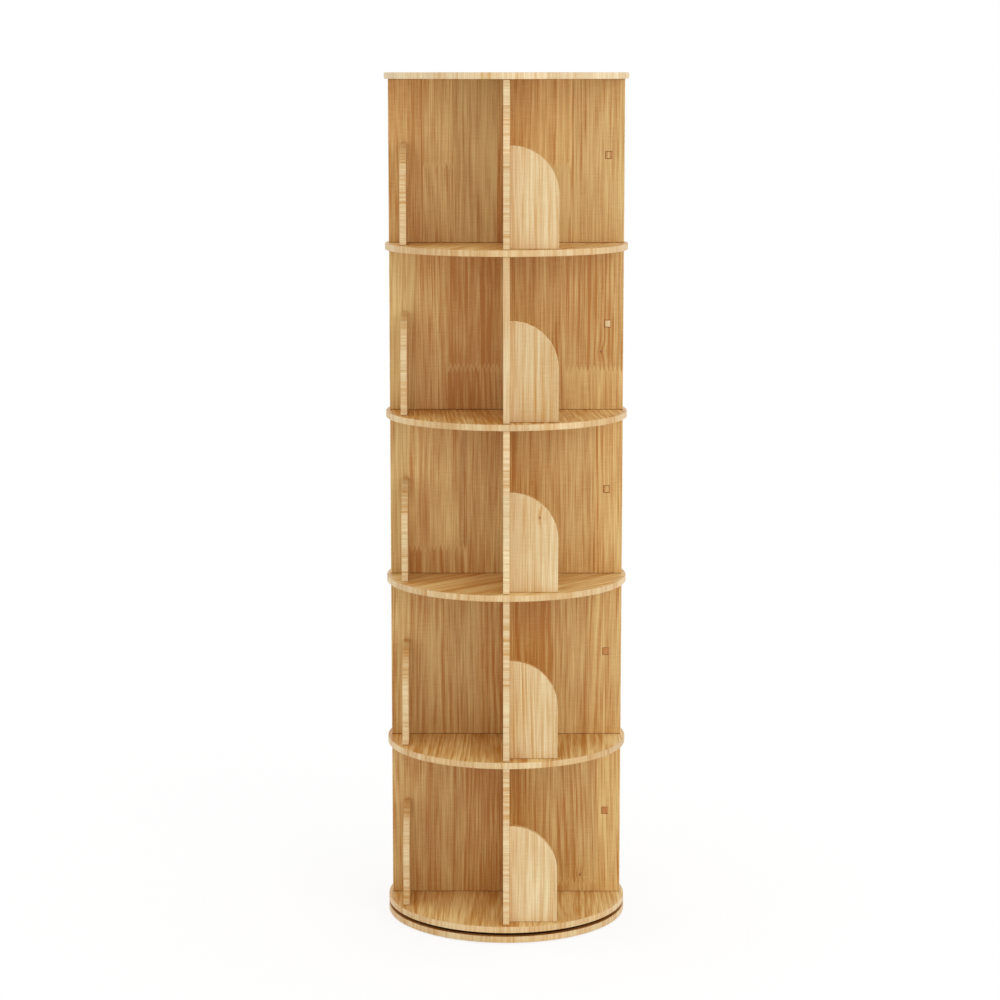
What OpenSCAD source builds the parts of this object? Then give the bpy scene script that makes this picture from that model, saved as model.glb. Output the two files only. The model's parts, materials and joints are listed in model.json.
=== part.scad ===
// Revolving bookcase: round shelves and crossed partitions that turn on a ring of balls.
// Millimetres, +Z up. The origin is on the floor, on the axis that the shelves turn about.

/* [Round boards] */
// Diameter of the base, the shelves and the top
board_d = 460; // [420:10:560]
// Thickness of the base, the shelves and the top
board_t = 12; // [11:1:20]
// Rounding along both edges of a board's rim
rim_round = 1.5; // [0.5:0.25:4]

/* [Tiers] */
// Number of tiers, each a shelf with its partitions and book stops
tier_count = 5; // [2:1:6]
// Clear height between a shelf and the board above it
tier_h = 306; // [260:2:360]

/* [Partitions] */
// Thickness of a partition
wall_t = 12; // [11:1:20]
// How far a partition's end stands in from the rim
wall_inset = 7.5; // [4:0.5:20]
// Rounding of a partition's upright outer edges
wall_round = 1; // [0.5:0.25:4]
// Play on each side of the slot where two partitions cross
lap_clear = 0.1; // [0.05:0.05:0.3]

/* [Book stops] */
// Thickness of a book stop
stop_t = 12; // [10:1:16]
// How far a book stop reaches out from its partition's face
stop_w = 90; // [70:1:100]
// Height of a book stop above its shelf
stop_h = 188; // [185:1:250]
// Radius of a book stop's upper outer corner
stop_round = 90; // [20:1:100]
// How far a book stop stands in from its partition's end
stop_inset = 24; // [15:1:60]
// Height of the tenon that holds a book stop in its partition
tenon_h = 13; // [8:1:20]
// Height of the tenon's middle above the shelf
tenon_rise = 164.5; // [100:0.5:168]
// Play all round the tenon in its mortise
mortise_clear = 0.1; // [0.05:0.05:0.3]

/* [Dowels] */
// Diameter of a partition dowel
dowel_d = 8; // [6:0.5:9]
// Depth of a partition dowel's hole in a partition
dowel_bite = 14; // [8:1:30]
// Depth of a partition dowel's hole in the lowest shelf and the top
dowel_cap = 8; // [5:0.5:9]
// Distance from the axis to the inner dowels
dowel_from_axis = 60; // [30:1:90]
// Distance from a partition's end to the outer dowels
dowel_from_end = 50; // [20:1:80]
// Diameter of a book stop's dowel
stop_dowel_d = 6; // [4:0.5:8]
// Depth of a book stop's dowel hole in the stop
stop_dowel_bite = 12; // [8:1:30]
// Depth of a book stop's dowel hole in the shelf
stop_dowel_sink = 7; // [4:0.5:9]
// Distance from the partition's face to a book stop's dowel
stop_dowel_reach = 55; // [30:1:62]
// Play round a dowel in its hole
dowel_clear = 0.1; // [0.05:0.05:0.3]
// Play at each end of a dowel in its hole
dowel_end_clear = 0.5; // [0.2:0.1:0.8]
// Chamfer at each end of a dowel
dowel_chamfer = 1; // [0.5:0.25:1.5]

/* [Turntable] */
// Outer diameter of the turntable's outer ring
ring_d = 300; // [260:5:320]
// Radial width of each ring
ring_w = 20; // [16:1:26]
// Height of each ring
ring_h = 6; // [5.5:0.5:10]
// How far the inner ring stands above the base
ring_lift = 1; // [0.6:0.2:1.6]
// Rounding of the rings' edges
ring_round = 0.5; // [0.2:0.1:0.8]
// Radial gap between the two rings
race_gap = 2.4; // [2.2:0.1:2.8]
// Diameter of a ball
ball_d = 4; // [3.6:0.1:4.2]
// Number of balls
ball_count = 24; // [12:1:48]
// Play round a ball in its grooves and its pocket
ball_clear = 0.1; // [0.05:0.05:0.2]
// Thickness of the cage that spaces the balls
cage_t = 1.6; // [1.2:0.1:1.8]
// Clear height above and below the cage
cage_end_clear = 1; // [0.6:0.1:1]
// Number of screws in each ring
screw_count = 6; // [3:1:12]
// Diameter of a ring screw's shank
screw_d = 4; // [3:0.5:5]
// Diameter of a ring screw's countersunk head
screw_head_d = 7.6; // [6.6:0.1:9]
// Depth of a ring screw in its board
screw_bite = 8; // [6:0.5:9]
// Length of a ring screw's point
screw_point = 3; // [2:0.5:4]
// Play round a ring screw in its hole
screw_clear = 0.1; // [0.05:0.05:0.3]
// Diameter of the hole in the base that the inner ring's screws are reached through
access_d = 14; // [10:1:20]

/* [Feet] */
// Diameter of a foot pad
pad_d = 36; // [20:1:50]
// Thickness of a foot pad
pad_t = 2; // [1:0.5:6]
// Number of foot pads
pad_count = 6; // [3:1:12]
// Distance from the rim to a foot pad's edge
pad_inset = 30; // [5:1:50]

/* [Hidden] */
$fn = 96;
// How far a cut runs past the face that it opens on
over = 1;

// Heights, from the floor up
base_z = pad_t;
base_top = base_z + board_t;
turntable_gap = ring_h + ring_lift;
tier_pitch = board_t + tier_h;
top_z = base_top + turntable_gap + tier_count * tier_pitch;
function shelf_z(tier) = base_top + turntable_gap + (tier - 1) * tier_pitch;
function wall_z(tier) = shelf_z(tier) + board_t;

// Partitions, book stops and their dowels, as distances from the axis
wall_reach = board_d / 2 - wall_inset;
stop_mid = wall_reach - stop_inset - stop_t / 2;
dowel_radii = [dowel_from_axis, wall_reach - dowel_from_end];
stop_dowel_y = wall_t / 2 + stop_dowel_reach;

// The turntable's ball track and its two rings
ball_z = base_top + turntable_gap / 2;
ball_track_r = ring_d / 2 - ring_w - race_gap / 2;
outer_ring_r = [ring_d / 2 - ring_w, ring_d / 2];
inner_ring_r = [ball_track_r - race_gap / 2 - ring_w, ball_track_r - race_gap / 2];
outer_screw_r = (outer_ring_r[0] + outer_ring_r[1]) / 2;
inner_screw_r = (inner_ring_r[0] + inner_ring_r[1]) / 2;
inner_ring_z = base_top + ring_lift;
outer_ring_top = base_top + ring_h;
screw_l = ring_h + screw_bite;
pad_track_r = board_d / 2 - pad_inset - pad_d / 2;

board_colour = "#dcb882";
partition_colour = "#c79a5f";
stop_colour = "#d9b47c";
dowel_colour = "#e6cfa4";
ring_colour = "#b9bcc0";
steel_colour = "#d5d8dc";
cage_colour = "#e9e6dc";
pad_colour = "#3a3632";

// Each wing of the crossed partitions, in quarter turns from +X
WINGS = ["right", "back", "left", "front"];
function tier_names(name) = [for (tier = [1:tier_count]) str(name, "_", tier)];

// A bar seen from above, with its four corners rounded
module rounded_bar(length, width, radius) {
  square([length - 2 * radius, width], center = true);
  square([length, width - 2 * radius], center = true);
  for (x = [-1, 1], y = [-1, 1])
    translate([x * (length / 2 - radius), y * (width / 2 - radius)])
      circle(radius);
}

// A ring turned from a bar with rounded corners, standing on z = 0
module turned_ring(radii, height, radius) {
  middle = (radii[0] + radii[1]) / 2;
  rotate_extrude()
    translate([middle, height / 2])
      rounded_bar(radii[1] - radii[0], height, radius);
}

// A round board with a rounded rim, standing on z = 0
module round_board() {
  rim_r = board_d / 2;
  rotate_extrude() {
    square([rim_r - rim_round, board_t]);
    translate([0, rim_round])
      square([rim_r, board_t - 2 * rim_round]);
    for (z = [rim_round, board_t - rim_round])
      translate([rim_r - rim_round, z])
        circle(rim_round);
  }
}

// Copies its children at even steps round the axis
module around(count, radius) {
  for (i = [0:count - 1])
    rotate(360 * i / count)
      translate([radius, 0])
        children();
}

// Copies its children to each partition dowel of one plane
module at_dowels() {
  for (radius = dowel_radii)
    around(len(WINGS), radius)
      children();
}

// Copies its children to each book stop's dowel in one plane
module at_stop_dowels() {
  around(len(WINGS), stop_mid)
    translate([0, stop_dowel_y])
      children();
}

// A dowel with chamfered ends, standing on z = 0
module dowel(diameter, length) {
  radius = diameter / 2;
  rotate_extrude()
    polygon([
      [0, 0],
      [radius - dowel_chamfer, 0],
      [radius, dowel_chamfer],
      [radius, length - dowel_chamfer],
      [radius - dowel_chamfer, length],
      [0, length]
    ]);
}

// A dowel hole, from z = 0 up
module dowel_hole(diameter, depth) {
  cylinder(d = diameter + 2 * dowel_clear, h = depth);
}

// A countersunk screw with its head's face on z = 0 and its point down
module countersunk_screw() {
  head_h = (screw_head_d - screw_d) / 2;
  rotate_extrude()
    polygon([
      [0, 0],
      [screw_head_d / 2, 0],
      [screw_d / 2, -head_h],
      [screw_d / 2, screw_point - screw_l],
      [0, -screw_l]
    ]);
}

// The countersunk hole that such a screw passes through
module countersunk_hole() {
  mouth_r = screw_head_d / 2 + screw_clear;
  hole_r = screw_d / 2 + screw_clear;
  translate([0, 0, -ring_h - over])
    cylinder(r = hole_r, h = ring_h + 2 * over);
  translate([0, 0, hole_r - mouth_r])
    cylinder(r1 = hole_r, r2 = mouth_r, h = mouth_r - hole_r);
  cylinder(r = mouth_r, h = over);
}

// The hole that a screw's end takes in a board, from z = 0 down
module screw_hole() {
  translate([0, 0, -screw_bite])
    cylinder(r = screw_d / 2 + screw_clear, h = screw_bite);
}

// The groove that the balls run in
module ball_groove() {
  translate([0, 0, ball_z])
    rotate_extrude()
      translate([ball_track_r, 0])
        circle(ball_d / 2 + ball_clear);
}

// Base

module base_board() {
  color(board_colour)
    difference() {
      translate([0, 0, base_z])
        round_board();
      translate([0, 0, base_top])
        around(screw_count, outer_screw_r)
          screw_hole();
      translate([inner_screw_r, 0, base_z - over])
        cylinder(d = access_d, h = board_t + 2 * over);
    }
}

module foot_pads() {
  color(pad_colour)
    around(pad_count, pad_track_r)
      cylinder(d = pad_d, h = pad_t);
}

// Turntable

module turntable_outer_ring() {
  color(ring_colour)
    difference() {
      translate([0, 0, base_top])
        turned_ring(outer_ring_r, ring_h, ring_round);
      ball_groove();
      translate([0, 0, outer_ring_top])
        around(screw_count, outer_screw_r)
          countersunk_hole();
    }
}

module outer_ring_screws() {
  color(steel_colour)
    translate([0, 0, outer_ring_top])
      around(screw_count, outer_screw_r)
        countersunk_screw();
}

module turntable_ball_cage() {
  cage_r = ball_track_r - cage_t / 2;
  cage_h = turntable_gap - 2 * cage_end_clear;
  color(cage_colour)
    translate([0, 0, ball_z])
      difference() {
        rotate_extrude()
          translate([cage_r, -cage_h / 2])
            square([cage_t, cage_h]);
        around(ball_count, cage_r - over)
          rotate([0, 90, 0])
            cylinder(r = ball_d / 2 + ball_clear, h = cage_t + 2 * over);
      }
}

module turntable_balls() {
  color(steel_colour)
    translate([0, 0, ball_z])
      around(ball_count, ball_track_r)
        sphere(d = ball_d);
}

module turntable_inner_ring() {
  color(ring_colour)
    difference() {
      translate([0, 0, inner_ring_z])
        turned_ring(inner_ring_r, ring_h, ring_round);
      ball_groove();
      translate([0, 0, inner_ring_z])
        around(screw_count, inner_screw_r)
          mirror([0, 0, 1])
            countersunk_hole();
    }
}

module inner_ring_screws() {
  color(steel_colour)
    translate([0, 0, inner_ring_z])
      around(screw_count, inner_screw_r)
        mirror([0, 0, 1])
          countersunk_screw();
}

// Shelves and top

module shelf(tier) {
  lowest = tier == 1;
  color(board_colour)
    translate([0, 0, shelf_z(tier)])
      difference() {
        round_board();
        translate([0, 0, lowest ? board_t - dowel_cap : -over])
          at_dowels()
            dowel_hole(dowel_d, board_t + 2 * over);
        translate([0, 0, board_t - stop_dowel_sink])
          at_stop_dowels()
            dowel_hole(stop_dowel_d, stop_dowel_sink + over);
        if (lowest)
          around(screw_count, inner_screw_r)
            mirror([0, 0, 1])
              screw_hole();
      }
}

module top_board() {
  color(board_colour)
    translate([0, 0, top_z])
      difference() {
        round_board();
        translate([0, 0, dowel_cap - board_t - 2 * over])
          at_dowels()
            dowel_hole(dowel_d, board_t + 2 * over);
      }
}

// Partitions

// One partition along X, standing on z = 0, with its dowel holes and mortises
module partition_blank() {
  mortise_x = stop_t + 2 * mortise_clear;
  mortise_z = tenon_h + 2 * mortise_clear;
  difference() {
    linear_extrude(tier_h)
      rounded_bar(2 * wall_reach, wall_t, wall_round);
    for (side = [-1, 1]) {
      for (radius = dowel_radii, z = [-over, tier_h - dowel_bite])
        translate([side * radius, 0, z])
          dowel_hole(dowel_d, dowel_bite + over);
      translate([side * stop_mid, 0, tenon_rise])
        cube([mortise_x, wall_t + 2 * over, mortise_z], center = true);
    }
  }
}

// The slot that takes the crossing partition, from z = 0 up
module lap_slot(height) {
  slot_w = wall_t + 2 * lap_clear;
  translate([-slot_w / 2, -wall_t / 2 - over, 0])
    cube([slot_w, wall_t + 2 * over, height]);
}

module side_to_side_partition(tier) {
  color(partition_colour)
    translate([0, 0, wall_z(tier)])
      difference() {
        partition_blank();
        translate([0, 0, tier_h / 2])
          lap_slot(tier_h / 2 + over);
      }
}

module front_to_back_partition(tier) {
  color(partition_colour)
    translate([0, 0, wall_z(tier)])
      rotate(90)
        difference() {
          partition_blank();
          translate([0, 0, -over])
            lap_slot(tier_h / 2 + lap_clear + over);
        }
}

// Book stops

// A book stop seen along its partition: its board with the round corner, and its tenon
module book_stop_outline() {
  corner = [stop_w - stop_round, stop_h - stop_round];
  translate([wall_t / 2, 0]) {
    square([stop_w, corner[1]]);
    if (corner[0] > 0)
      square([corner[0], stop_h]);
    intersection() {
      square([stop_w, stop_h]);
      translate(corner)
        circle(stop_round);
    }
  }
  translate([-wall_t / 2, tenon_rise - tenon_h / 2])
    square([wall_t + over, tenon_h]);
}

module book_stop(tier, quarter) {
  color(stop_colour)
    translate([0, 0, wall_z(tier)])
      rotate(90 * quarter)
        difference() {
          translate([stop_mid - stop_t / 2, 0, 0])
            rotate([90, 0, 90])
              linear_extrude(stop_t)
                book_stop_outline();
          translate([stop_mid, stop_dowel_y, -over])
            dowel_hole(stop_dowel_d, stop_dowel_bite + over);
        }
}

// Dowels

module partition_dowels() {
  end_l = dowel_cap + dowel_bite - 2 * dowel_end_clear;
  through_l = board_t + 2 * (dowel_bite - dowel_end_clear);
  color(dowel_colour) {
    translate([0, 0, wall_z(1) - dowel_cap + dowel_end_clear])
      at_dowels()
        dowel(dowel_d, end_l);
    for (tier = [2:tier_count])
      translate([0, 0, shelf_z(tier) - dowel_bite + dowel_end_clear])
        at_dowels()
          dowel(dowel_d, through_l);
    translate([0, 0, top_z - dowel_bite + dowel_end_clear])
      at_dowels()
        dowel(dowel_d, end_l);
  }
}

module stop_dowels() {
  length = stop_dowel_sink + stop_dowel_bite - 2 * dowel_end_clear;
  color(dowel_colour)
    for (tier = [1:tier_count])
      translate([0, 0, wall_z(tier) - stop_dowel_sink + dowel_end_clear])
        at_stop_dowels()
          dowel(stop_dowel_d, length);
}

base_board();
foot_pads();
turntable_outer_ring();
outer_ring_screws();
turntable_ball_cage();
turntable_balls();
turntable_inner_ring();
inner_ring_screws();
top_board();
partition_dowels();
stop_dowels();
for (tier = [1:tier_count]) {
  shelf(tier);
  side_to_side_partition(tier);
  front_to_back_partition(tier);
  for (quarter = [0:len(WINGS) - 1])
    book_stop(tier, quarter);
}
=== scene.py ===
"""Looks of the revolving bookcase: boards glued up from finger-jointed pine, on a hidden turntable."""
import itertools
import json
import math
import random
from functools import partial

import bpy
from mathutils import Matrix, Vector

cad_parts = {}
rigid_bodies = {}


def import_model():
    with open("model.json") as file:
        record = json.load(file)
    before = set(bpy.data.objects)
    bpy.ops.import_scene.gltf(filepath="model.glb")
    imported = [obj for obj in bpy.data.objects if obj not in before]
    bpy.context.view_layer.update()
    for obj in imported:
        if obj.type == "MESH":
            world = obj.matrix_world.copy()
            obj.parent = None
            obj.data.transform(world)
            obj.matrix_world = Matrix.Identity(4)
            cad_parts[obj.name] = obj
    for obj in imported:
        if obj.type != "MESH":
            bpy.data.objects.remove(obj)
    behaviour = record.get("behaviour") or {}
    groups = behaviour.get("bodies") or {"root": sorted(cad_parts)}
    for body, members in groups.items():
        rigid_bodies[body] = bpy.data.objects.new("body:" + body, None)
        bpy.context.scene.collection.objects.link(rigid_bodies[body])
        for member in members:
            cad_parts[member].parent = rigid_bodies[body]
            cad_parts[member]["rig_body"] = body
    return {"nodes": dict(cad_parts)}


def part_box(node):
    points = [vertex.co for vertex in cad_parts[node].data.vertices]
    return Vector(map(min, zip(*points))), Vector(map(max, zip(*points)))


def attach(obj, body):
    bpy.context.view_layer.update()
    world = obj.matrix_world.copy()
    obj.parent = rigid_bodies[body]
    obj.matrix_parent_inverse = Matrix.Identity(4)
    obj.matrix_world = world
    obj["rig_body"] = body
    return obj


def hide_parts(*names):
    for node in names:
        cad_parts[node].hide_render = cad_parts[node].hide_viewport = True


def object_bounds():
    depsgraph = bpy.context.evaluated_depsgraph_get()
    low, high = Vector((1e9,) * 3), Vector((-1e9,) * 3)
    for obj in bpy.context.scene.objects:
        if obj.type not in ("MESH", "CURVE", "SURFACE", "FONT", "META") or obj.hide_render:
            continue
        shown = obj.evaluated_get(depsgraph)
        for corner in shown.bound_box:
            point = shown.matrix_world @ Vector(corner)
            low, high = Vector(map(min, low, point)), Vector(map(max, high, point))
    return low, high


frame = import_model()
cad_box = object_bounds()

# Sizes in metres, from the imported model
MM = 0.001
TIERS = range(1, 6)
WINGS = ["right", "back", "left", "front"]
QUARTER = math.radians(90)
shelf_low, shelf_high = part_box("shelf_1")
wall_low, wall_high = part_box("side_to_side_partition_1")
stop_low, stop_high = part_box("book_stop_right_1")
board_r = shelf_high.x
board_t = shelf_high.z - shelf_low.z
wall_reach = wall_high.x
wall_t = wall_high.y - wall_low.y
wall_h = wall_high.z - wall_low.z
stop_t = stop_high.x - stop_low.x
stop_w = stop_high.y - wall_t / 2
stop_h = stop_high.z - stop_low.z
stop_mid = (stop_low.x + stop_high.x) / 2

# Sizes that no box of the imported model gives
RIM_ROUND = 1.5 * MM
WALL_ROUND = 1.0 * MM
STOP_ROUND = 0.8 * MM
TENON_H = 13 * MM
TENON_RISE = 164.5 * MM
TENON_CHAMFER = 0.7 * MM
PLAY = 0.1 * MM
ACCESS_R = 7 * MM
ACCESS_X = 117.6 * MM
GAP_RING = 12 * MM
SAPWOOD_LINE = 4 * MM

# How finely round shapes are cut, how far a cutter goes past a face, and what tells faces and points apart
RIM_STEPS = 192
RIM_ROUND_STEPS = 4
HOLE_STEPS = 48
CORNER_STEPS = 28
EASE_STEPS = 2
OVER = 2 * MM
TINY = 0.01 * MM
FLAT = 0.99
NEARLY_FLAT = 0.9
SHARP_ANGLE = math.radians(40)
SMOOTH_ANGLE = math.radians(12)

# The timber rack: every strip of wood is cut from a plank of its own, side by side on the map called grain,
# and each plank is made of lengths with finger joints between them
GRAIN = "grain"
RACK_STEP = 0.5
LENGTH = 0.8
NO_JOINT = LENGTH / 2
FINGER_PITCH = 8 * MM
FINGER_REACH = 14 * MM
FINGER_SLOPE = FINGER_REACH / (FINGER_PITCH / 2)
STRIP_WIDTHS = (58 * MM, 104 * MM)
SEED = 23
rng = random.Random(SEED)
rack = itertools.count(1)

# How deep the wood's colour is: about 0 for its pale colour and 1 for its dark one, and what some faces
# add to it
DEEPER = "deeper"
MEAN_DEPTH = 0.42
DEPTHS = (-0.3, 1.05)
TONES = 0.24
HEARTWOOD = 0.36
SAPWOOD = -0.3
# Painted shade that some faces add: the book stops' faces that turn upwards, and the ring and the inside of
# the gap over the base
UPWARD_PAINTED_SHADE = 0.4
GAP_RING_DEPTH = 0.2
GAP_INSIDE_DEPTH = 0.6


# Nodes


def linear(code):
    """A colour written as sRGB hex, as the linear colour that a shader socket takes."""
    channels = [int(code[i:i + 2], 16) / 255 for i in (1, 3, 5)]
    return [c / 12.92 if c <= 0.04045 else ((c + 0.055) / 1.055) ** 2.4 for c in channels] + [1.0]


def add(tree, kind, inputs=None, stops=(), **settings):
    """Adds a node with its settings and ramp stops; inputs are constants, or sockets or nodes to link."""
    node = tree.nodes.new("ShaderNode" + kind)
    for name, value in settings.items():
        setattr(node, name, value)
    for spot, (position, grey) in enumerate(stops):
        elements = node.color_ramp.elements
        element = elements[spot] if spot < len(elements) else elements.new(position)
        element.position = position
        element.color = (grey, grey, grey, 1)
    for name, value in (inputs or {}).items():
        socket = node.inputs[name]
        if isinstance(name, str):
            socket = next(s for s in node.inputs if s.enabled and s.name == name)
        if isinstance(value, bpy.types.Node):
            value = next(s for s in value.outputs if s.enabled)
        if isinstance(value, bpy.types.NodeSocket):
            tree.links.new(value, socket)
        else:
            socket.default_value = value
    return node


def empty_tree(owner):
    """Clears the nodes of a material or a world, and gives back a function that adds nodes to it."""
    owner.use_nodes = True
    owner.node_tree.nodes.clear()
    return partial(add, owner.node_tree)


# Pine. Its patterns are in marks to the metre across the grain, along it, and from plank to plank
WAVER_MARKS = (7, 1.6, 0)
FADE_MARKS = (22, 5, 1)
BAND_MARKS = (25, 1.6, 1)
THREAD_MARKS = (330, 9, 1)
FIBRE_MARKS = (560, 10, 0)
RIPPLE_MARKS = (35, 330, 0)
# How far each pattern reaches between the pale and the dark colour; for the rings, the least, what a heavy
# year adds, and the mean
BAND_SHARE = 2.2
THREAD_SHARE = 0.8
FIBRE_SHARE = 1.7
RIPPLE_SHARE = 0.3
RING_SHARE = 0.38
HEAVY_RING_SHARE = 0.68
MEAN_RING_SHARE = 0.19
# Knots: cells to the metre, the share of cells with a knot, and parts of a cell for its eye and its swell;
# then how far the grain bends and deepens round it, and how much of the knot's own colour covers the wood
KNOT_CELLS = (9, 6, 0)
KNOT_SHARE = 0.14
KNOT_EYE = (0.006, 0.026)
KNOT_SWELL = 0.16
KNOT_BEND = 5 * MM
KNOT_DEPTH = 0.2
KNOT_COVER = 0.8
KNOT_COLOUR = "#84502A"
# The pith of a length's tree: metres beside the face and below it, and its slope, as the least and the range
# of each; then how far the grain leans and wavers to the sides
PITH_LEAST = (0.04, 0.012, -0.05)
PITH_RANGE = (0.12, 0.05, 0.10)
LEAN_RANGE = 0.06
WAVER = 10 * MM
# Growth rings to the metre, the spells in which they run wide or narrow, and a ring's colour over its year:
# the ramp's two ends come first, since a new ramp has them already
FEWEST_RINGS = 70
RINGS_RANGE = 55
SPELL_MARKS = 45
SPELL_YEARS = 1.5
LATE_WOOD = [(0, 0), (1, 0), (0.3, 0.15), (0.6, 0.75), (0.8, 1)]
HEAVY_POWER = 2
# Rings that fade in patches: the noise's range, and the share of a ring that is left
FADE_FROM = (0.35, 0.65)
FADE_TO = (0.3, 1.2)
# Pale glue at the finger joints, and how bright one length is beside another
GLUE_WIDTH = 5 * MM
GLUE_COVER = 0.7
LEAST_VALUE = 0.95
VALUE_RANGE = 0.10
# Satin lacquer
ROUGHNESS = 0.46
LATE_ROUGHNESS = 0.12
FIBRE_RELIEF = 0.06 * MM
FIBRE_STRENGTH = 0.2
COAT = 0.12
COAT_ROUGHNESS = 0.3


def pine(name, pale, dark, spread=1.0, fine=1.0, knots=0):
    """Pine, planed, sanded and satin lacquered: straight growth rings with deeper late wood, in long lengths
    that are finger-jointed end to end, each from a tree of its own. The wood runs from its pale to its dark
    colour; spread and fine say how far its bands and its fine lines go between the two, and knots is the
    share of cells with a knot."""
    material = bpy.data.materials.new(name)
    node = empty_tree(material)
    grain = node("UVMap", uv_map=GRAIN)
    place = node("SeparateXYZ", {0: grain})
    rack_x, rack_y = place.outputs["X"], place.outputs["Y"]

    # Which plank of the rack, and which of its finger-jointed lengths
    shifted = node("Math", {0: rack_x, 1: RACK_STEP / 2}, operation="ADD")
    plank = node("Math", {0: shifted, 1: RACK_STEP}, operation="SNAP")
    across = node("Math", {0: rack_x, 1: plank}, operation="SUBTRACT")
    tooth = node("Math", {0: across, 1: FINGER_PITCH / 2}, operation="PINGPONG")
    toothed = node("Math", {0: tooth, 1: FINGER_SLOPE, 2: rack_y}, operation="MULTIPLY_ADD")
    start = node("Math", {0: toothed, 1: LENGTH}, operation="SNAP")
    along = node("Math", {0: rack_y, 1: start}, operation="SUBTRACT")
    lot = node("CombineXYZ", {"X": plank, "Y": start})
    first_dice = node("TexWhiteNoise", {"Vector": lot}).outputs["Color"]
    second_dice = node("TexWhiteNoise", {"Vector": first_dice}).outputs["Color"]
    third_dice = node("TexWhiteNoise", {"Vector": second_dice}).outputs["Color"]

    # Pin knots 3 mm wide, about one to a partition, with a soft ring, and the swell of the grain round each
    spread_out = node("VectorMath", {0: grain, 1: KNOT_CELLS}, operation="MULTIPLY")
    cells = node("TexVoronoi", {"Vector": spread_out, "Scale": 1.0}, voronoi_dimensions="2D")
    cell_dice = node("SeparateColor", {0: cells.outputs["Color"]})
    chosen = node("Math", {0: cell_dice.outputs[0], 1: knots}, operation="LESS_THAN")
    from_knot = cells.outputs["Distance"]
    eye_limits = {"From Min": KNOT_EYE[0], "From Max": KNOT_EYE[1], "To Min": KNOT_COVER, "To Max": 0.0}
    eye = node("MapRange", {"Value": from_knot, **eye_limits}, interpolation_type="SMOOTHSTEP")
    knot = node("Math", {0: eye, 1: chosen}, operation="MULTIPLY")
    near_limits = {"From Max": KNOT_SWELL, "To Min": 1.0, "To Max": 0.0}
    near = node("MapRange", {"Value": from_knot, **near_limits}, interpolation_type="SMOOTHSTEP")
    swell = node("Math", {0: near, 1: chosen}, operation="MULTIPLY")

    # The tree that the length was sawn from: its pith lies beside and below the face, and leans
    pith = node("VectorMath", {0: first_dice, 1: PITH_RANGE, 2: PITH_LEAST}, operation="MULTIPLY_ADD")
    pith = node("SeparateXYZ", {0: pith})
    draws = node("SeparateColor", {0: third_dice})
    side = node("Math", {0: draws.outputs[2], 1: 0.5}, operation="SUBTRACT")
    side = node("Math", {0: side}, operation="SIGN")
    lean = node("Math", {0: draws.outputs[0], 1: LEAN_RANGE, 2: -LEAN_RANGE / 2}, operation="MULTIPLY_ADD")
    bend = node("VectorMath", {0: grain, 1: WAVER_MARKS}, operation="MULTIPLY")
    waver = node("TexNoise", {"Vector": bend, "Scale": 1.0, "Detail": 3.0}, noise_dimensions="2D")
    beside = node("Math", {0: side, 1: pith.outputs["X"], 2: across}, operation="MULTIPLY_ADD")
    for drift, reach in ((waver, WAVER), (along, lean), (swell, KNOT_BEND)):
        beside = node("Math", {0: drift, 1: reach, 2: beside}, operation="MULTIPLY_ADD")
    below = node("Math", {0: along, 1: pith.outputs["Z"], 2: pith.outputs["Y"]}, operation="MULTIPLY_ADD")
    from_pith = node("CombineXYZ", {"X": beside, "Y": below})
    radius = node("VectorMath", {0: from_pith}, operation="LENGTH")
    ringwise = node("CombineXYZ", {"X": radius, "Y": along, "Z": plank})

    # Growth rings 8 to 14 mm wide on the sawn face, in wider and narrower spells, each as deep as its year
    # made it
    tone = node("SeparateColor", {0: second_dice})
    per_metre = node("Math", {0: tone.outputs[0], 1: RINGS_RANGE, 2: FEWEST_RINGS}, operation="MULTIPLY_ADD")
    spell = node("Math", {0: radius, 1: SPELL_MARKS}, operation="MULTIPLY")
    spell = node("TexNoise", {"W": spell, "Scale": 1.0, "Detail": 1.0}, noise_dimensions="1D")
    spell = node("Math", {0: spell, 1: SPELL_YEARS}, operation="MULTIPLY")
    years = node("Math", {0: radius, 1: per_metre, 2: spell}, operation="MULTIPLY_ADD")
    year = node("Math", {0: years}, operation="FLOOR")
    season = node("Math", {0: years}, operation="FRACT")
    late = node("ValToRGB", {0: season}, stops=LATE_WOOD)
    year_lot = node("CombineXYZ", {"X": year, "Y": plank, "Z": start})
    year_dice = node("TexWhiteNoise", {"Vector": year_lot})
    heavy = node("Math", {0: year_dice, 1: HEAVY_POWER}, operation="POWER")
    extra, least = HEAVY_RING_SHARE * fine, RING_SHARE * fine
    weight = node("Math", {0: heavy, 1: extra, 2: least}, operation="MULTIPLY_ADD")
    patch = node("VectorMath", {0: ringwise, 1: FADE_MARKS}, operation="MULTIPLY")
    fade = node("TexNoise", {"Vector": patch, "Scale": 1.0, "Detail": 2.0})
    fade_limits = {"From Min": FADE_FROM[0], "From Max": FADE_FROM[1]}
    fade = node("MapRange", {"Value": fade, **fade_limits, "To Min": FADE_TO[0], "To Max": FADE_TO[1]})
    weight = node("Math", {0: weight, 1: fade}, operation="MULTIPLY")
    line = node("Math", {0: late, 1: weight}, operation="MULTIPLY")

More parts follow.
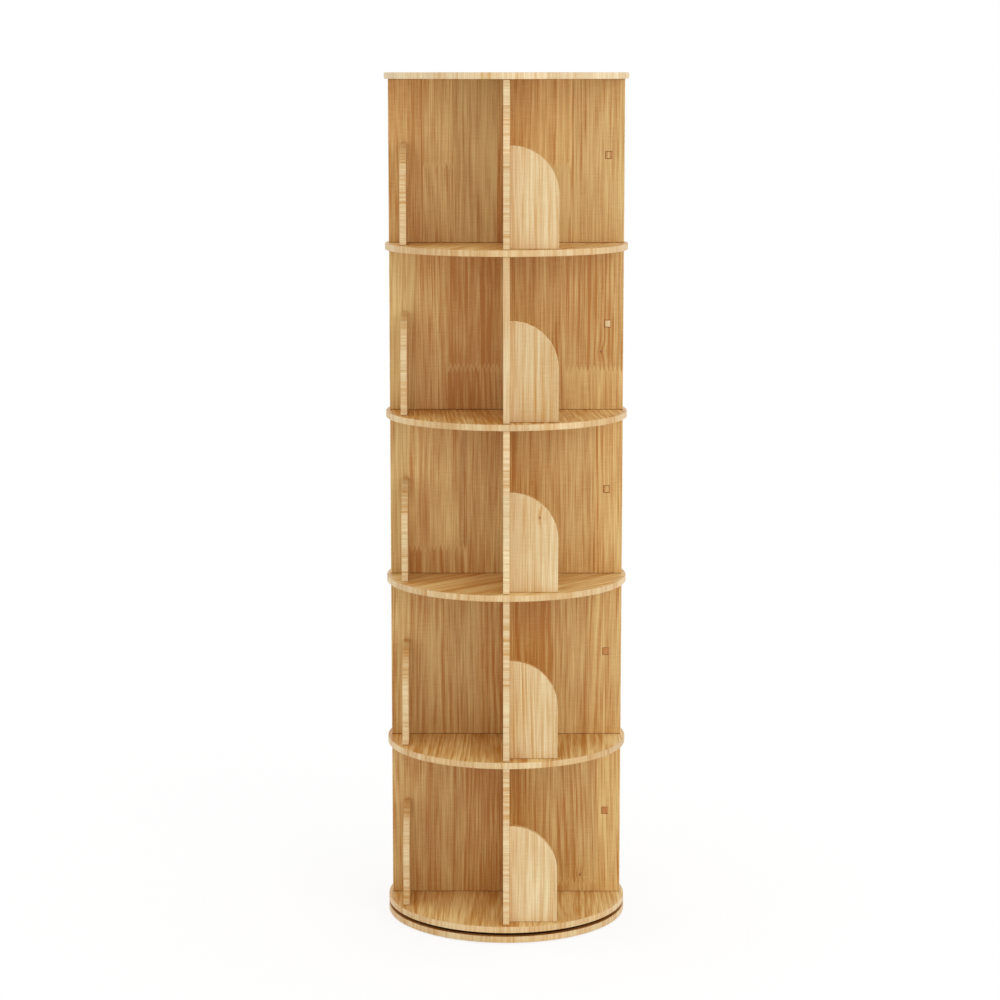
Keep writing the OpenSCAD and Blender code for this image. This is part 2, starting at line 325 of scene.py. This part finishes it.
    # Bands and threads that follow the rings and break up along the grain, fibres drawn coarser than real
    # ones, and the faint ripple of the planer
    wide = node("VectorMath", {0: ringwise, 1: BAND_MARKS}, operation="MULTIPLY")
    band = node("TexNoise", {"Vector": wide, "Scale": 1.0, "Detail": 3.0, "Roughness": 0.85})
    narrow = node("VectorMath", {0: ringwise, 1: THREAD_MARKS}, operation="MULTIPLY")
    thread = node("TexNoise", {"Vector": narrow, "Scale": 1.0, "Detail": 2.0})
    comb = node("VectorMath", {0: grain, 1: FIBRE_MARKS}, operation="MULTIPLY")
    fibre = node("TexNoise", {"Vector": comb, "Scale": 1.0, "Detail": 1.0}, noise_dimensions="2D")
    chatter = node("VectorMath", {0: grain, 1: RIPPLE_MARKS}, operation="MULTIPLY")
    ripple = node("TexNoise", {"Vector": chatter, "Scale": 1.0, "Detail": 1.0}, noise_dimensions="2D")

    # How deep the colour is: the length's tone, the patterns about their middles, knots, what the face adds
    # below its joint (its strip's tone, and on some faces painted shade), and the rings
    shares = (
        (band, BAND_SHARE * spread), (thread, THREAD_SHARE * fine),
        (fibre, FIBRE_SHARE * fine), (ripple, RIPPLE_SHARE * fine),
    )
    level = MEAN_DEPTH - TONES / 2 - MEAN_RING_SHARE * fine - sum(share for _, share in shares) / 2
    depth = node("Math", {0: tone.outputs[1], 1: TONES, 2: level}, operation="MULTIPLY_ADD")
    for pattern, share in shares:
        depth = node("Math", {0: pattern, 1: share, 2: depth}, operation="MULTIPLY_ADD")
    depth = node("Math", {0: swell, 1: KNOT_DEPTH, 2: depth}, operation="MULTIPLY_ADD")
    lower = node("Math", {0: start, 1: LENGTH / 2}, operation="LESS_THAN")
    deeper = node("Attribute", attribute_name=DEEPER).outputs["Fac"]
    depth = node("Math", {0: lower, 1: deeper, 2: depth}, operation="MULTIPLY_ADD")
    depth = node("Math", {0: line, 1: depth}, operation="ADD")
    depth = node("Clamp", {"Value": depth, "Min": DEPTHS[0], "Max": DEPTHS[1]})

    # The colour: wood, which goes a little past its pale and dark colours, the pale glue of a finger joint,
    # and knots
    colours = {"A": linear(pale), "B": linear(dark)}
    wood = node("Mix", {"Factor": depth, **colours}, data_type="RGBA", clamp_factor=False)
    to_joint = node("Math", {0: toothed, 1: LENGTH / 2}, operation="PINGPONG")
    glue = node("MapRange", {"Value": to_joint, "From Max": GLUE_WIDTH, "To Min": GLUE_COVER, "To Max": 0.0})
    wood = node("Mix", {"Factor": glue, "A": wood, "B": linear(pale)}, data_type="RGBA")
    value = node("Math", {0: tone.outputs[2], 1: VALUE_RANGE, 2: LEAST_VALUE}, operation="MULTIPLY_ADD")
    wood = node("HueSaturation", {"Color": wood, "Value": value})
    wood = node("Mix", {"Factor": knot, "A": wood, "B": linear(KNOT_COLOUR)}, data_type="RGBA")

    # Satin lacquer, a little duller on the late wood, over fibres that can just be felt
    dull = node("Math", {0: line, 1: LATE_ROUGHNESS, 2: ROUGHNESS}, operation="MULTIPLY_ADD")
    relief = node("Bump", {"Height": fibre, "Strength": FIBRE_STRENGTH, "Distance": FIBRE_RELIEF})
    coat = {"Coat Weight": COAT, "Coat Roughness": COAT_ROUGHNESS}
    surface = node("BsdfPrincipled", {"Base Color": wood, "Roughness": dull, "Normal": relief, **coat})
    node("OutputMaterial", {"Surface": surface})
    return material


# Faces: honey-coloured, with the strongest figure on the boards and the plainest on the book stops
board_pine = pine("lacquered pine board", "#ECCA87", "#C88B3C", spread=1.5, fine=1.2, knots=KNOT_SHARE)
partition_pine = pine("lacquered pine partition", "#E1BC78", "#BF8134", knots=KNOT_SHARE)
stop_pine = pine("lacquered pine book stop", "#EED9AA", "#C9954C", spread=0.7, fine=0.6, knots=KNOT_SHARE)
# Rims and narrow ends: cut across the grain, so paler and plainer than the faces
rim_pine = pine("lacquered pine rim", "#ECD2A0", "#C89047", spread=0.8, fine=0.5)
# The top board's rim is paler than the rims of the shelves and the base
top_rim_pine = pine("lacquered pine top rim", "#F6E5BF", "#D09F58", spread=0.6, fine=0.5)
edge_pine = pine("lacquered pine cut edge", "#F2DDB1", "#CD9951", spread=0.6, fine=0.62)
# Ends of some tenons: wood that drank the lacquer and turned darker. The same dark wood on the chamfers
# round all of them and on the outer ring of the base's top is painted shade: the shade in the joint round
# each tenon and at the mouth of the gap over the base
soaked_pine_and_painted_shade = pine("soaked lacquered pine", "#D49750", "#B36620", spread=0.8, fine=0.4)
# Grooves where pieces meet, and inside the gap over the base: painted shade, a dark wood that stands in for
# the shade in these creases and in the gap
painted_shade_pine = pine("pooled lacquer on pine", "#996633", "#64391A", spread=0.5, fine=0.3)


# Modelling


def deselect():
    """Leaves edit mode and selects nothing."""
    if bpy.context.object and bpy.context.object.mode != "OBJECT":
        bpy.ops.object.mode_set(mode="OBJECT")
    bpy.ops.object.select_all(action="DESELECT")


def take(piece):
    """Makes a piece the only one selected, in object mode."""
    deselect()
    bpy.context.view_layer.objects.active = piece
    piece.select_set(True)


def open_up(piece, kind):
    """Goes into edit mode on a piece, to select edges or faces, with none selected yet."""
    take(piece)
    bpy.ops.object.mode_set(mode="EDIT")
    bpy.ops.mesh.select_mode(type=kind)
    bpy.ops.mesh.select_all(action="DESELECT")


def pick_edges(piece, wanted):
    """Goes into edit mode with just the edges selected whose two ends pass a test."""
    open_up(piece, "EDGE")
    bpy.ops.object.mode_set(mode="OBJECT")
    points = piece.data.vertices
    for edge in piece.data.edges:
        edge.select = all(wanted(points[i].co) for i in edge.vertices)
    bpy.ops.object.mode_set(mode="EDIT")


def pick_faces(piece, wanted):
    """Goes into edit mode with just the faces selected whose centre and normal pass a test."""
    open_up(piece, "FACE")
    bpy.ops.object.mode_set(mode="OBJECT")
    for face in piece.data.polygons:
        face.select = wanted(face.center, face.normal)
    bpy.ops.object.mode_set(mode="EDIT")


def ease_sharp_edges(piece, width):
    """Rounds every sharp edge of a piece by a small width."""
    open_up(piece, "EDGE")
    bpy.ops.mesh.edges_select_sharp(sharpness=SHARP_ANGLE)
    bpy.ops.mesh.bevel(offset=width, segments=EASE_STEPS, affect="EDGES")
    deselect()


def block(centre, size):
    """A box of a size, at a place."""
    deselect()
    bpy.ops.mesh.primitive_cube_add(size=1, location=centre, scale=size)
    bpy.ops.object.transform_apply(location=True, rotation=True, scale=True)
    return bpy.context.object


def upright_cylinder(centre, radius, height, steps):
    """A cylinder of a size, at a place."""
    deselect()
    bpy.ops.mesh.primitive_cylinder_add(vertices=steps, radius=radius, depth=height, location=centre)
    bpy.ops.object.transform_apply(location=True)
    return bpy.context.object


def cut_away(piece, cutters):
    """Takes the cutters' room out of a piece, and the cutters away."""
    for cutter in cutters:
        take(piece)
        bpy.ops.object.modifier_add(type="BOOLEAN")
        saw = piece.modifiers[-1]
        saw.operation = "DIFFERENCE"
        saw.solver = "EXACT"
        saw.object = cutter
        bpy.ops.object.modifier_apply(modifier=saw.name)
        bpy.data.objects.remove(cutter)


def bisect(piece, point, normal):
    """Cuts a piece's faces along a plane and leaves both sides in place."""
    take(piece)
    bpy.ops.object.mode_set(mode="EDIT")
    bpy.ops.mesh.select_all(action="SELECT")
    bpy.ops.mesh.bisect(plane_co=point, plane_no=normal)
    deselect()


def shade(piece):
    """Shades round stretches smooth and leaves flat faces flat."""
    take(piece)
    bpy.ops.object.shade_smooth_by_angle(angle=SMOOTH_ANGLE)
    deselect()


def round_board():
    """A round board standing on z = 0, with both edges of its rim rounded."""
    board = upright_cylinder((0, 0, board_t / 2), board_r, board_t, RIM_STEPS)
    for z in (0, board_t):
        pick_edges(board, lambda p: abs(p.z - z) < TINY)
        bpy.ops.mesh.bevel(offset=RIM_ROUND, segments=RIM_ROUND_STEPS, affect="EDGES")
    shade(board)
    return board


def make_base_of(board):
    """Turns a round board into the base board: a ring along the edge of its top, and the access hole."""
    pick_faces(board, lambda c, n: n.z > FLAT)
    bpy.ops.mesh.inset(thickness=GAP_RING - RIM_ROUND)
    cut_away(board, [upright_cylinder((ACCESS_X, 0, 0), ACCESS_R, 4 * board_t, HOLE_STEPS)])


def partition(slot_low, slot_high):
    """A partition along X, standing on z = 0, with two mortises and the slot for the one that crosses it."""
    wall = block((0, 0, wall_h / 2), (2 * wall_reach, wall_t, wall_h))
    ease_sharp_edges(wall, WALL_ROUND)
    through = wall_t + 2 * OVER
    slot_z = (slot_low + slot_high) / 2
    cutters = [block((0, 0, slot_z), (wall_t + 2 * PLAY, through, slot_high - slot_low))]
    mortise = (stop_t + 2 * PLAY, through, TENON_H + 2 * PLAY)
    cutters += [block((side * stop_mid, 0, TENON_RISE), mortise) for side in (-1, 1)]
    cut_away(wall, cutters)

    def on_mortise_mouth(point):
        """True at the corners where a tenon comes out of its mortise, on the face away from its stop."""
        return (
            abs(abs(point.y) - wall_t / 2) < TINY
            and point.x * point.y < 0
            and abs(abs(point.x) - stop_mid) < mortise[0] / 2 + TINY
            and abs(point.z - TENON_RISE) < mortise[2] / 2 + TINY
        )

    pick_edges(wall, on_mortise_mouth)
    bpy.ops.mesh.bevel(offset=TENON_CHAMFER, segments=1, affect="EDGES")
    shade(wall)
    return wall


def book_stop():
    """The right wing's book stop, standing on z = 0: a board with one round corner, and its tenon."""
    reach = wall_t / 2 + stop_w
    stop = block((stop_mid, wall_t / 2 + stop_w / 2, stop_h / 2), (stop_t, stop_w, stop_h))
    pick_edges(stop, lambda p: p.y > reach - TINY and p.z > stop_h - TINY)
    bpy.ops.mesh.bevel(offset=stop_w - STOP_ROUND, segments=CORNER_STEPS, affect="EDGES")
    ease_sharp_edges(stop, STOP_ROUND)
    tenon_low, tenon_high = TENON_RISE - TENON_H / 2, TENON_RISE + TENON_H / 2
    for z in (tenon_low, tenon_high):
        bisect(stop, (0, 0, z), (0, 0, 1))
    pick_faces(stop, lambda c, n: n.y < -NEARLY_FLAT and tenon_low < c.z < tenon_high)
    bpy.ops.mesh.extrude_region_move(TRANSFORM_OT_translate={"value": (0, -wall_t, 0)})
    pick_edges(stop, lambda p: p.y < TINY - wall_t / 2)
    bpy.ops.mesh.bevel(offset=TENON_CHAMFER, segments=1, affect="EDGES")
    shade(stop)
    return stop


# Glueing up: the strips that each board is made of, and where each was cut from the rack


class Strip:
    """A strip of wood between two seams, cut from the next plank of the rack; its colour may be deeper."""

    def __init__(self, low, high, joint=None, deeper=0):
        self.low, self.high, self.deeper = low, high, deeper
        self.plank = next(rack) * RACK_STEP
        draw = rng.uniform(0, LENGTH)
        self.start = LENGTH - joint if joint is not None else draw

    def map(self, across, along):
        """Where a point of the strip lies on the map."""
        return self.plank + across - (self.low + self.high) / 2, self.start + along


def strips_between(seams, joints=None, tones=None):
    """The strips between neighbouring seams, with finger joints at heights by strip number, or anywhere, and
    with tones by strip number."""
    strips = []
    for number, (low, high) in enumerate(itertools.pairwise(seams)):
        joint = None if joints is None else joints.get(number, NO_JOINT)
        strips.append(Strip(low, high, joint, (tones or {}).get(number, 0)))
    return strips


def random_seams(reach):
    """Seams across a board from -reach to reach, at the widths that strips are sawn to."""
    seams = [-reach]
    while reach - seams[-1] > STRIP_WIDTHS[1] + STRIP_WIDTHS[0]:
        seams.append(seams[-1] + rng.uniform(*STRIP_WIDTHS))
    seams.append((seams[-1] + reach) / 2)
    return seams + [reach]


def strip_at(strips, across):
    """The strip that a place across the board falls in."""
    return next((s for s in strips if across < s.high), strips[-1])


def lay_grain(piece, cut_from, deeper):
    """Maps a piece onto the rack; cut_from gives a face's material slot, and where a point of it lies.
    Deeper gives how much deeper the colour of a face is, below its strip's joint where it has one."""
    mesh = piece.data
    grain = mesh.uv_layers.new(name=GRAIN)
    for face in mesh.polygons:
        face.material_index, spot = cut_from(face)
        for corner in face.loop_indices:
            grain.data[corner].uv = spot(mesh.vertices[mesh.loops[corner].vertex_index].co)
    depths = [deeper(face) for face in mesh.polygons]
    mesh.attributes.new(DEEPER, "FLOAT", "FACE").data.foreach_set("value", depths)


def copy_of(model, node):
    """A copy of a model with a mesh of its own, named for the CAD node that it stands for."""
    piece = model.copy()
    piece.data = model.data.copy()
    piece.name = node + "_wood"
    bpy.context.scene.collection.objects.link(piece)
    return piece


def hand_over(piece, node, materials, turn=0):
    """Puts a finished piece where its CAD node is, turned about the axis, with its materials, on the node's
    body."""
    place = Matrix.Translation((0, 0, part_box(node)[0].z)) @ Matrix.Rotation(turn, 4, "Z")
    piece.data.transform(place)
    for material in materials:
        piece.data.materials.append(material)
    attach(piece, frame["nodes"][node]["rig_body"])
    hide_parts(node)


def make_round_board(model, node, grain_angle, seams, rim_wood, tones=None, dark_side=0):
    """Glues up one round board from strips with tones by strip number, its grain turned by an angle from
    front to back; dark_side is 1 or -1 where its upper or lower face is one of the two in the gap over the
    base, which are painted dark as shade. A ring along the rim, where the board has one, is painted brown
    there as shade."""
    board = copy_of(model, node)
    strips = strips_between(seams, {}, tones)
    side = Vector((math.cos(grain_angle), math.sin(grain_angle), 0))
    length = Vector((-math.sin(grain_angle), math.cos(grain_angle), 0))
    for seam in seams[1:-1]:
        bisect(board, seam * side, side)
    rim_strips = strips_between(random_seams(math.pi * board_r), {})
    materials = (board_pine, rim_wood, painted_shade_pine, soaked_pine_and_painted_shade)
    face_slot, rim_slot, inside_slot, ring_slot = range(len(materials))

    def in_gap(face):
        """True on the face that is in the gap over the base."""
        return face.normal.z * dark_side > FLAT

    def far_in(face):
        """True further in than the ring near the rim."""
        return face.center.xy.length < board_r - GAP_RING - MM

    def cut_from(face):
        """The slot of a face, and the map of its points: a strip of the board or of its rim."""
        centre = face.center
        if abs(face.normal.z) > FLAT:
            strip = strip_at(strips, centre.dot(side))
            slot = face_slot
            # The faces in the gap over the base: painted shade, dark further in and brown on the ring by the
            # rim
            if in_gap(face):
                slot = inside_slot if far_in(face) else ring_slot
            return slot, lambda p: strip.map(p.dot(side), p.dot(length))
        turn = math.atan2(centre.x, -centre.y)
        rim_strip = strip_at(rim_strips, board_r * turn)

        def on_rim(point):
            """Where a point of the rim lies on the map, by its bearing from the face's own."""
            ahead = Matrix.Rotation(-turn, 3, "Z") @ point
            bearing = turn + math.atan2(ahead.x, -ahead.y)
            return rim_strip.map(board_r * bearing, point.z)

        return rim_slot, on_rim

    def deeper(face):
        """How much deeper a face is: its strip's tone, or the painted shade in the gap, and nothing on the
        rim.
        """
        if in_gap(face):
            return GAP_INSIDE_DEPTH if far_in(face) else GAP_RING_DEPTH
        return strip_at(strips, face.center.dot(side)).deeper if abs(face.normal.z) > FLAT else 0

    lay_grain(board, cut_from, deeper)
    hand_over(board, node, materials)


def make_partition(model, node, seams, joints, turn, tones=None, upright=False):
    """Glues up one partition from upright strips with tones by strip number, with grooves round its joints
    painted dark as shade; the grain of its narrow ends runs across, or upright."""
    wall = copy_of(model, node)
    strips = strips_between(seams, joints, tones)
    for seam in seams[1:-1]:
        bisect(wall, (seam, 0, 0), (1, 0, 0))
    end_seams = [wall_h / 2 + seam for seam in random_seams(wall_h / 2)]
    for seam in end_seams[1:-1]:
        bisect(wall, (0, 0, seam), (0, 0, 1))
    ends = [strips_between(end_seams, {}) for _ in range(2)]
    materials = (partition_pine, edge_pine, painted_shade_pine, board_pine)
    face_slot, end_slot, groove_slot, sapwood_slot = range(len(materials))

    def cut_from(face):
        """The slot of a face, and the map of its points: its strip, or one of the narrow ends."""
        centre = face.center
        strip = strip_at(strips, centre.x)
        slanted = max(abs(n) for n in face.normal) < FLAT
        # Bevels at the foot and head, where the wall meets the shelves: painted shade
        if slanted and not WALL_ROUND < centre.z < wall_h - WALL_ROUND:
            return groove_slot, lambda p: strip.map(p.x, p.z)
        if abs(centre.x) > wall_reach - WALL_ROUND:
            end = ends[centre.x > 0][0] if upright else strip_at(ends[centre.x > 0], centre.z)
            return end_slot, lambda p: end.map(p.y, p.z) if upright else end.map(p.z, p.y)
        slot = sapwood_slot if strip.high - strip.low < SAPWOOD_LINE else face_slot
        # Mortise chamfers: painted shade round the tenons
        return groove_slot if slanted else slot, lambda p: strip.map(p.x, p.z)

    lay_grain(wall, cut_from, lambda face: strip_at(strips, face.center.x).deeper)
    hand_over(wall, node, materials, turn)


def make_book_stop(model, node, turn, tenon_wood):
    """Finishes one book stop: a face of one strip, edges with the grain across, and the tenon's end."""
    stop = copy_of(model, node)
    face_strip = Strip(wall_t / 2, wall_t / 2 + stop_w, NO_JOINT)
    half = (stop_h + stop_w) / 2
    edge_seams = [stop_h - half + seam for seam in random_seams(half)]
    for seam in edge_seams[1:-1]:
        bisect(stop, (0, 0, seam), (0, -1, 1))
    edges = strips_between(edge_seams, {})
    tenon = Strip(stop_low.x, stop_high.x, NO_JOINT)
    materials = (stop_pine, painted_shade_pine, tenon_wood, soaked_pine_and_painted_shade)
    face_slot, foot_slot, tenon_slot, chamfer_slot = range(len(materials))

    def cut_from(face):
        """The slot of a face, and the map of its points: its one strip, the tenon, or an edge strip."""
        centre = face.center
        if abs(face.normal.x) > FLAT:
            return face_slot, lambda p: face_strip.map(p.y, p.z)
        if centre.y < wall_t / 2 - TINY:
            # The tenon's chamfers: painted shade in the joint round it
            slot = tenon_slot if abs(face.normal.y) > FLAT else chamfer_slot
            return slot, lambda p: tenon.map(p.x, p.z)
        # The foot, where the stop meets the shelf: painted shade
        if centre.z < STOP_ROUND:
            return foot_slot, lambda p: face_strip.map(p.y, p.z)
        edge = strip_at(edges, centre.z - centre.y)
        return face_slot, lambda p: edge.map(p.z - p.y, p.x - stop_mid)

    # Faces that turn upwards get a deeper colour: painted shade, strongest on the top
    lay_grain(stop, cut_from, lambda face: UPWARD_PAINTED_SHADE * max(face.normal.z, 0) ** 2)
    hand_over(stop, node, materials, turn)


# Seams of the side-to-side partitions as the photo shows them, in millimetres from the axis; a pair of them
# close together holds a pale line of sapwood. Then the finger joints that show: strip number and the height
# of its fingertips above the shelf
SEEN_SEAMS = {
    1: [-159, -88, -14, 40, 100, 176],
    2: [-126, -60, 14, 84, 160, 189, 191],
    3: [-190, -163, -91, -75, 10, 89, 170],
    4: [-170, -112, -4, 54, 109.5, 111.5],
    5: [-158, -100, -18, 62, 121.5, 123.5],
}
SEEN_JOINTS = {1: {5: 27}, 2: {}, 3: {1: 58, 2: 58, 3: 58}, 4: {2: 887, 6: 84}, 5: {1: 153, 4: 951}}
# Strips of darker heartwood or paler sapwood, below the joint where they have one; a height with a whole
# length of 800 mm added is the next joint down the plank, with the same wood on both sides of it
WALL_TONES = {
    1: {2: HEARTWOOD, 3: HEARTWOOD, 6: SAPWOOD},
    2: {3: HEARTWOOD, 5: SAPWOOD},
    3: {0: SAPWOOD, 1: HEARTWOOD, 3: SAPWOOD},
    4: {0: SAPWOOD, 2: HEARTWOOD, 6: SAPWOOD},
    5: {0: HEARTWOOD, 2: SAPWOOD, 4: SAPWOOD},
}
# Wood that shows on the tenons' ends
TENON_WOODS = {1: soaked_pine_and_painted_shade, 2: soaked_pine_and_painted_shade, 3: partition_pine, 4: edge_pine, 5: partition_pine}
# Shelves: the direction of the grain in degrees from front to back, and the seams that show, in millimetres
GRAIN_ANGLES = {1: 0, 2: 0, 3: -46, 4: 4, 5: -20}
SHELF_SEAMS = {
    1: [-171, -59, 26, 103, 180],
    2: [-179, -68, 40, 155],
    3: [-150, -58, 40, 150],
    4: [-140, -47, 31, 118],
    5: [-165, -82, 12, 96, 170],
}
SHELF_TONES = {
    1: {1: SAPWOOD, 2: HEARTWOOD, 5: SAPWOOD},
    2: {0: HEARTWOOD, 2: HEARTWOOD, 4: SAPWOOD},
    3: {4: SAPWOOD},
    4: {0: HEARTWOOD, 1: HEARTWOOD, 3: HEARTWOOD},
    5: {},
}
# The tier whose front-to-back partition has upright grain on its narrow ends
UPRIGHT_ENDS = 4

board_model = round_board()
for tier in TIERS:
    seams = [-board_r, *(seam * MM for seam in SHELF_SEAMS[tier]), board_r]
    angle = math.radians(GRAIN_ANGLES[tier])
    dark_side = -1 if tier == TIERS[0] else 0
    make_round_board(board_model, f"shelf_{tier}", angle, seams, rim_pine, SHELF_TONES[tier], dark_side)
make_round_board(board_model, "top_board", 0, random_seams(board_r), top_rim_pine)
make_base_of(board_model)
make_round_board(board_model, "base_board", 0, random_seams(board_r), rim_pine, dark_side=1)
bpy.data.objects.remove(board_model)

wall_model = partition(wall_h / 2, wall_h + OVER)
for tier in TIERS:
    seams = [-wall_reach, *(seam * MM for seam in SEEN_SEAMS[tier]), wall_reach]
    joints = {strip: height * MM for strip, height in SEEN_JOINTS[tier].items()}
    node = f"side_to_side_partition_{tier}"
    make_partition(wall_model, node, seams, joints, 0, WALL_TONES[tier])
bpy.data.objects.remove(wall_model)
wall_model = partition(-OVER, wall_h / 2 + PLAY)
for tier in TIERS:
    node = f"front_to_back_partition_{tier}"
    make_partition(wall_model, node, random_seams(wall_reach), None, QUARTER, upright=tier == UPRIGHT_ENDS)
bpy.data.objects.remove(wall_model)

stop_model = book_stop()
for tier in TIERS:
    for turns, wing in enumerate(WINGS):
        make_book_stop(stop_model, f"book_stop_{wing}_{tier}", turns * QUARTER, TENON_WOODS[tier])
bpy.data.objects.remove(stop_model)


# What the boards hide: the turntable, its screws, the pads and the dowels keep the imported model's solids
MARK_STRENGTH = 0.3


def plain_finish(name, dark, light, marks, metallic, roughness, relief):
    """A finish whose tone and gloss vary with fine marks, given as marks to the metre along X, Y and Z."""
    material = bpy.data.materials.new(name)
    node = empty_tree(material)
    place = node("TexCoord").outputs["Object"]
    spaced = node("VectorMath", {0: place, 1: marks}, operation="MULTIPLY")
    mark = node("TexNoise", {"Vector": spaced, "Scale": 1.0, "Detail": 2.0})
    tint = node("Mix", {"Factor": mark, "A": linear(dark), "B": linear(light)}, data_type="RGBA")
    gloss = node("MapRange", {"Value": mark, "To Min": roughness[0], "To Max": roughness[1]})
    bump = node("Bump", {"Height": mark, "Strength": MARK_STRENGTH, "Distance": relief})
    inputs = {"Base Color": tint, "Roughness": gloss, "Normal": bump, "Metallic": metallic}
    surface = node("BsdfPrincipled", inputs)
    node("OutputMaterial", {"Surface": surface})
    return material


# Drawn aluminium: pale grey metal with faint lines around the ring, drawn coarser than real ones
ring_finish = plain_finish(
    "drawn aluminium", "#A9ACB0", "#C6C9CC", (900, 900, 2500),
    metallic=1, roughness=(0.30, 0.42), relief=0.02 * MM,
)
# Hardened bearing steel, ground and polished: nearly a mirror
ball_finish = plain_finish(
    "polished bearing steel", "#CDD0D4", "#DDE0E3", (1500, 1500, 1500),
    metallic=1, roughness=(0.08, 0.16), relief=0.002 * MM,
)
# Zinc-plated steel: cool grey with a cloudy gloss
screw_finish = plain_finish(
    "zinc-plated steel", "#B7BAB9", "#D3D5D2", (1200, 1200, 1200),
    metallic=1, roughness=(0.28, 0.42), relief=0.01 * MM,
)
# Moulded nylon: milky off-white with a fine matt skin
cage_finish = plain_finish(
    "moulded nylon", "#E0DCCF", "#EFECE2", (1600, 1600, 1600),
    metallic=0, roughness=(0.45, 0.60), relief=0.02 * MM,
)
# Moulded rubber: nearly black and dull, with a pebbled skin
pad_finish = plain_finish(
    "moulded rubber", "#2C2926", "#45413D", (1800, 1800, 1800),
    metallic=0, roughness=(0.80, 0.95), relief=0.05 * MM,
)
# Beech rod, bare: pale and pinkish with short flecks along its length
dowel_finish = plain_finish(
    "bare beech rod", "#D9BB8C", "#EBD6AE", (1400, 1400, 120),
    metallic=0, roughness=(0.55, 0.70), relief=0.02 * MM,
)

FINISHES = {
    "turntable_outer_ring": ring_finish,
    "turntable_inner_ring": ring_finish,
    "turntable_balls": ball_finish,
    "turntable_ball_cage": cage_finish,
    "outer_ring_screws": screw_finish,
    "inner_ring_screws": screw_finish,
    "foot_pads": pad_finish,
    "partition_dowels": dowel_finish,
    "stop_dowels": dowel_finish,
}
for node, finish in FINISHES.items():
    frame["nodes"][node].data.materials.clear()
    frame["nodes"][node].data.materials.append(finish)


# Floor, light and camera
WHITE = (1, 1, 1, 1)
SKY_LIGHT = 0.88
SHADOW_SHARE = 0.25
FLOOR_PAINT = "#F4F4F2"
FLOOR_RADIUS = 30
FLOOR_STEPS = 64
CAMERA_DISTANCE = 5.071
CAMERA_HEIGHT = 1.6254
CAMERA_TILT = 9.123
CAMERA_PAN = 0.1383
LENS = 96.18
SENSOR = 36


def shows_backdrop(node):
    """1 on rays that show the backdrop, straight or in a reflection, and 0 on those that bring its light."""
    path = node("LightPath")
    seen = path.outputs["Is Camera Ray"]
    for ray in ("Is Glossy Ray", "Is Transmission Ray"):
        seen = node("Math", {0: seen, 1: path.outputs[ray]}, operation="MAXIMUM")
    return seen


def studio_floor():
    """A wide white floor that melts into the backdrop and keeps a faint shadow of the bookcase."""
    deselect()
    bpy.ops.mesh.primitive_circle_add(vertices=FLOOR_STEPS, radius=FLOOR_RADIUS, fill_type="NGON")
    floor = bpy.context.object
    floor.name = "studio_floor"
    material = bpy.data.materials.new("white studio floor")
    node = empty_tree(material)
    paint = node("BsdfDiffuse", {"Color": linear(FLOOR_PAINT)})
    veil = node("BsdfDiffuse", {"Color": (SHADOW_SHARE, SHADOW_SHARE, SHADOW_SHARE, 1)})
    glow = node("Emission", {"Color": WHITE, "Strength": 1 - SHADOW_SHARE * SKY_LIGHT})
    white = node("AddShader", {0: veil, 1: glow})
    blend = node("MixShader", {0: shows_backdrop(node), 1: paint, 2: white})
    node("OutputMaterial", {"Surface": blend})
    floor.data.materials.append(material)


def studio_sky():
    """White all round for the camera, and an even soft light for the bookcase."""
    world = bpy.data.worlds.new("studio")
    bpy.context.scene.world = world
    node = empty_tree(world)
    strength = node("MapRange", {"Value": shows_backdrop(node), "To Min": SKY_LIGHT, "To Max": 1.0})
    sky = node("Background", {"Color": WHITE, "Strength": strength})
    node("OutputWorld", {"Surface": sky})


def soft_box(name, azimuth, elevation, distance, size, power):
    """A square lamp that looks at the middle of the bookcase from an azimuth and an elevation in degrees."""
    turn, rise = math.radians(azimuth), math.radians(elevation)
    back = Vector((math.sin(turn) * math.cos(rise), -math.cos(turn) * math.cos(rise), math.sin(rise)))
    middle = (cad_box[0] + cad_box[1]) / 2
    bpy.ops.object.light_add(type="AREA", location=middle + distance * back)
    lamp = bpy.context.object
    lamp.name = name
    lamp.rotation_euler = (-back).to_track_quat("-Z", "Y").to_euler()
    lamp.data.shape = "SQUARE"
    lamp.data.size = size
    lamp.data.energy = power


studio_floor()
studio_sky()
soft_box("right_soft_box", azimuth=35, elevation=15, distance=5.0, size=3.0, power=42)

bpy.ops.object.camera_add(location=(0, -CAMERA_DISTANCE, CAMERA_HEIGHT))
camera = bpy.context.object
camera.rotation_euler = (QUARTER - math.radians(CAMERA_TILT), 0, math.radians(CAMERA_PAN))
camera.data.lens = LENS
camera.data.sensor_width = SENSOR
bpy.context.scene.camera = camera
bpy.context.scene.view_settings.view_transform = "Standard"
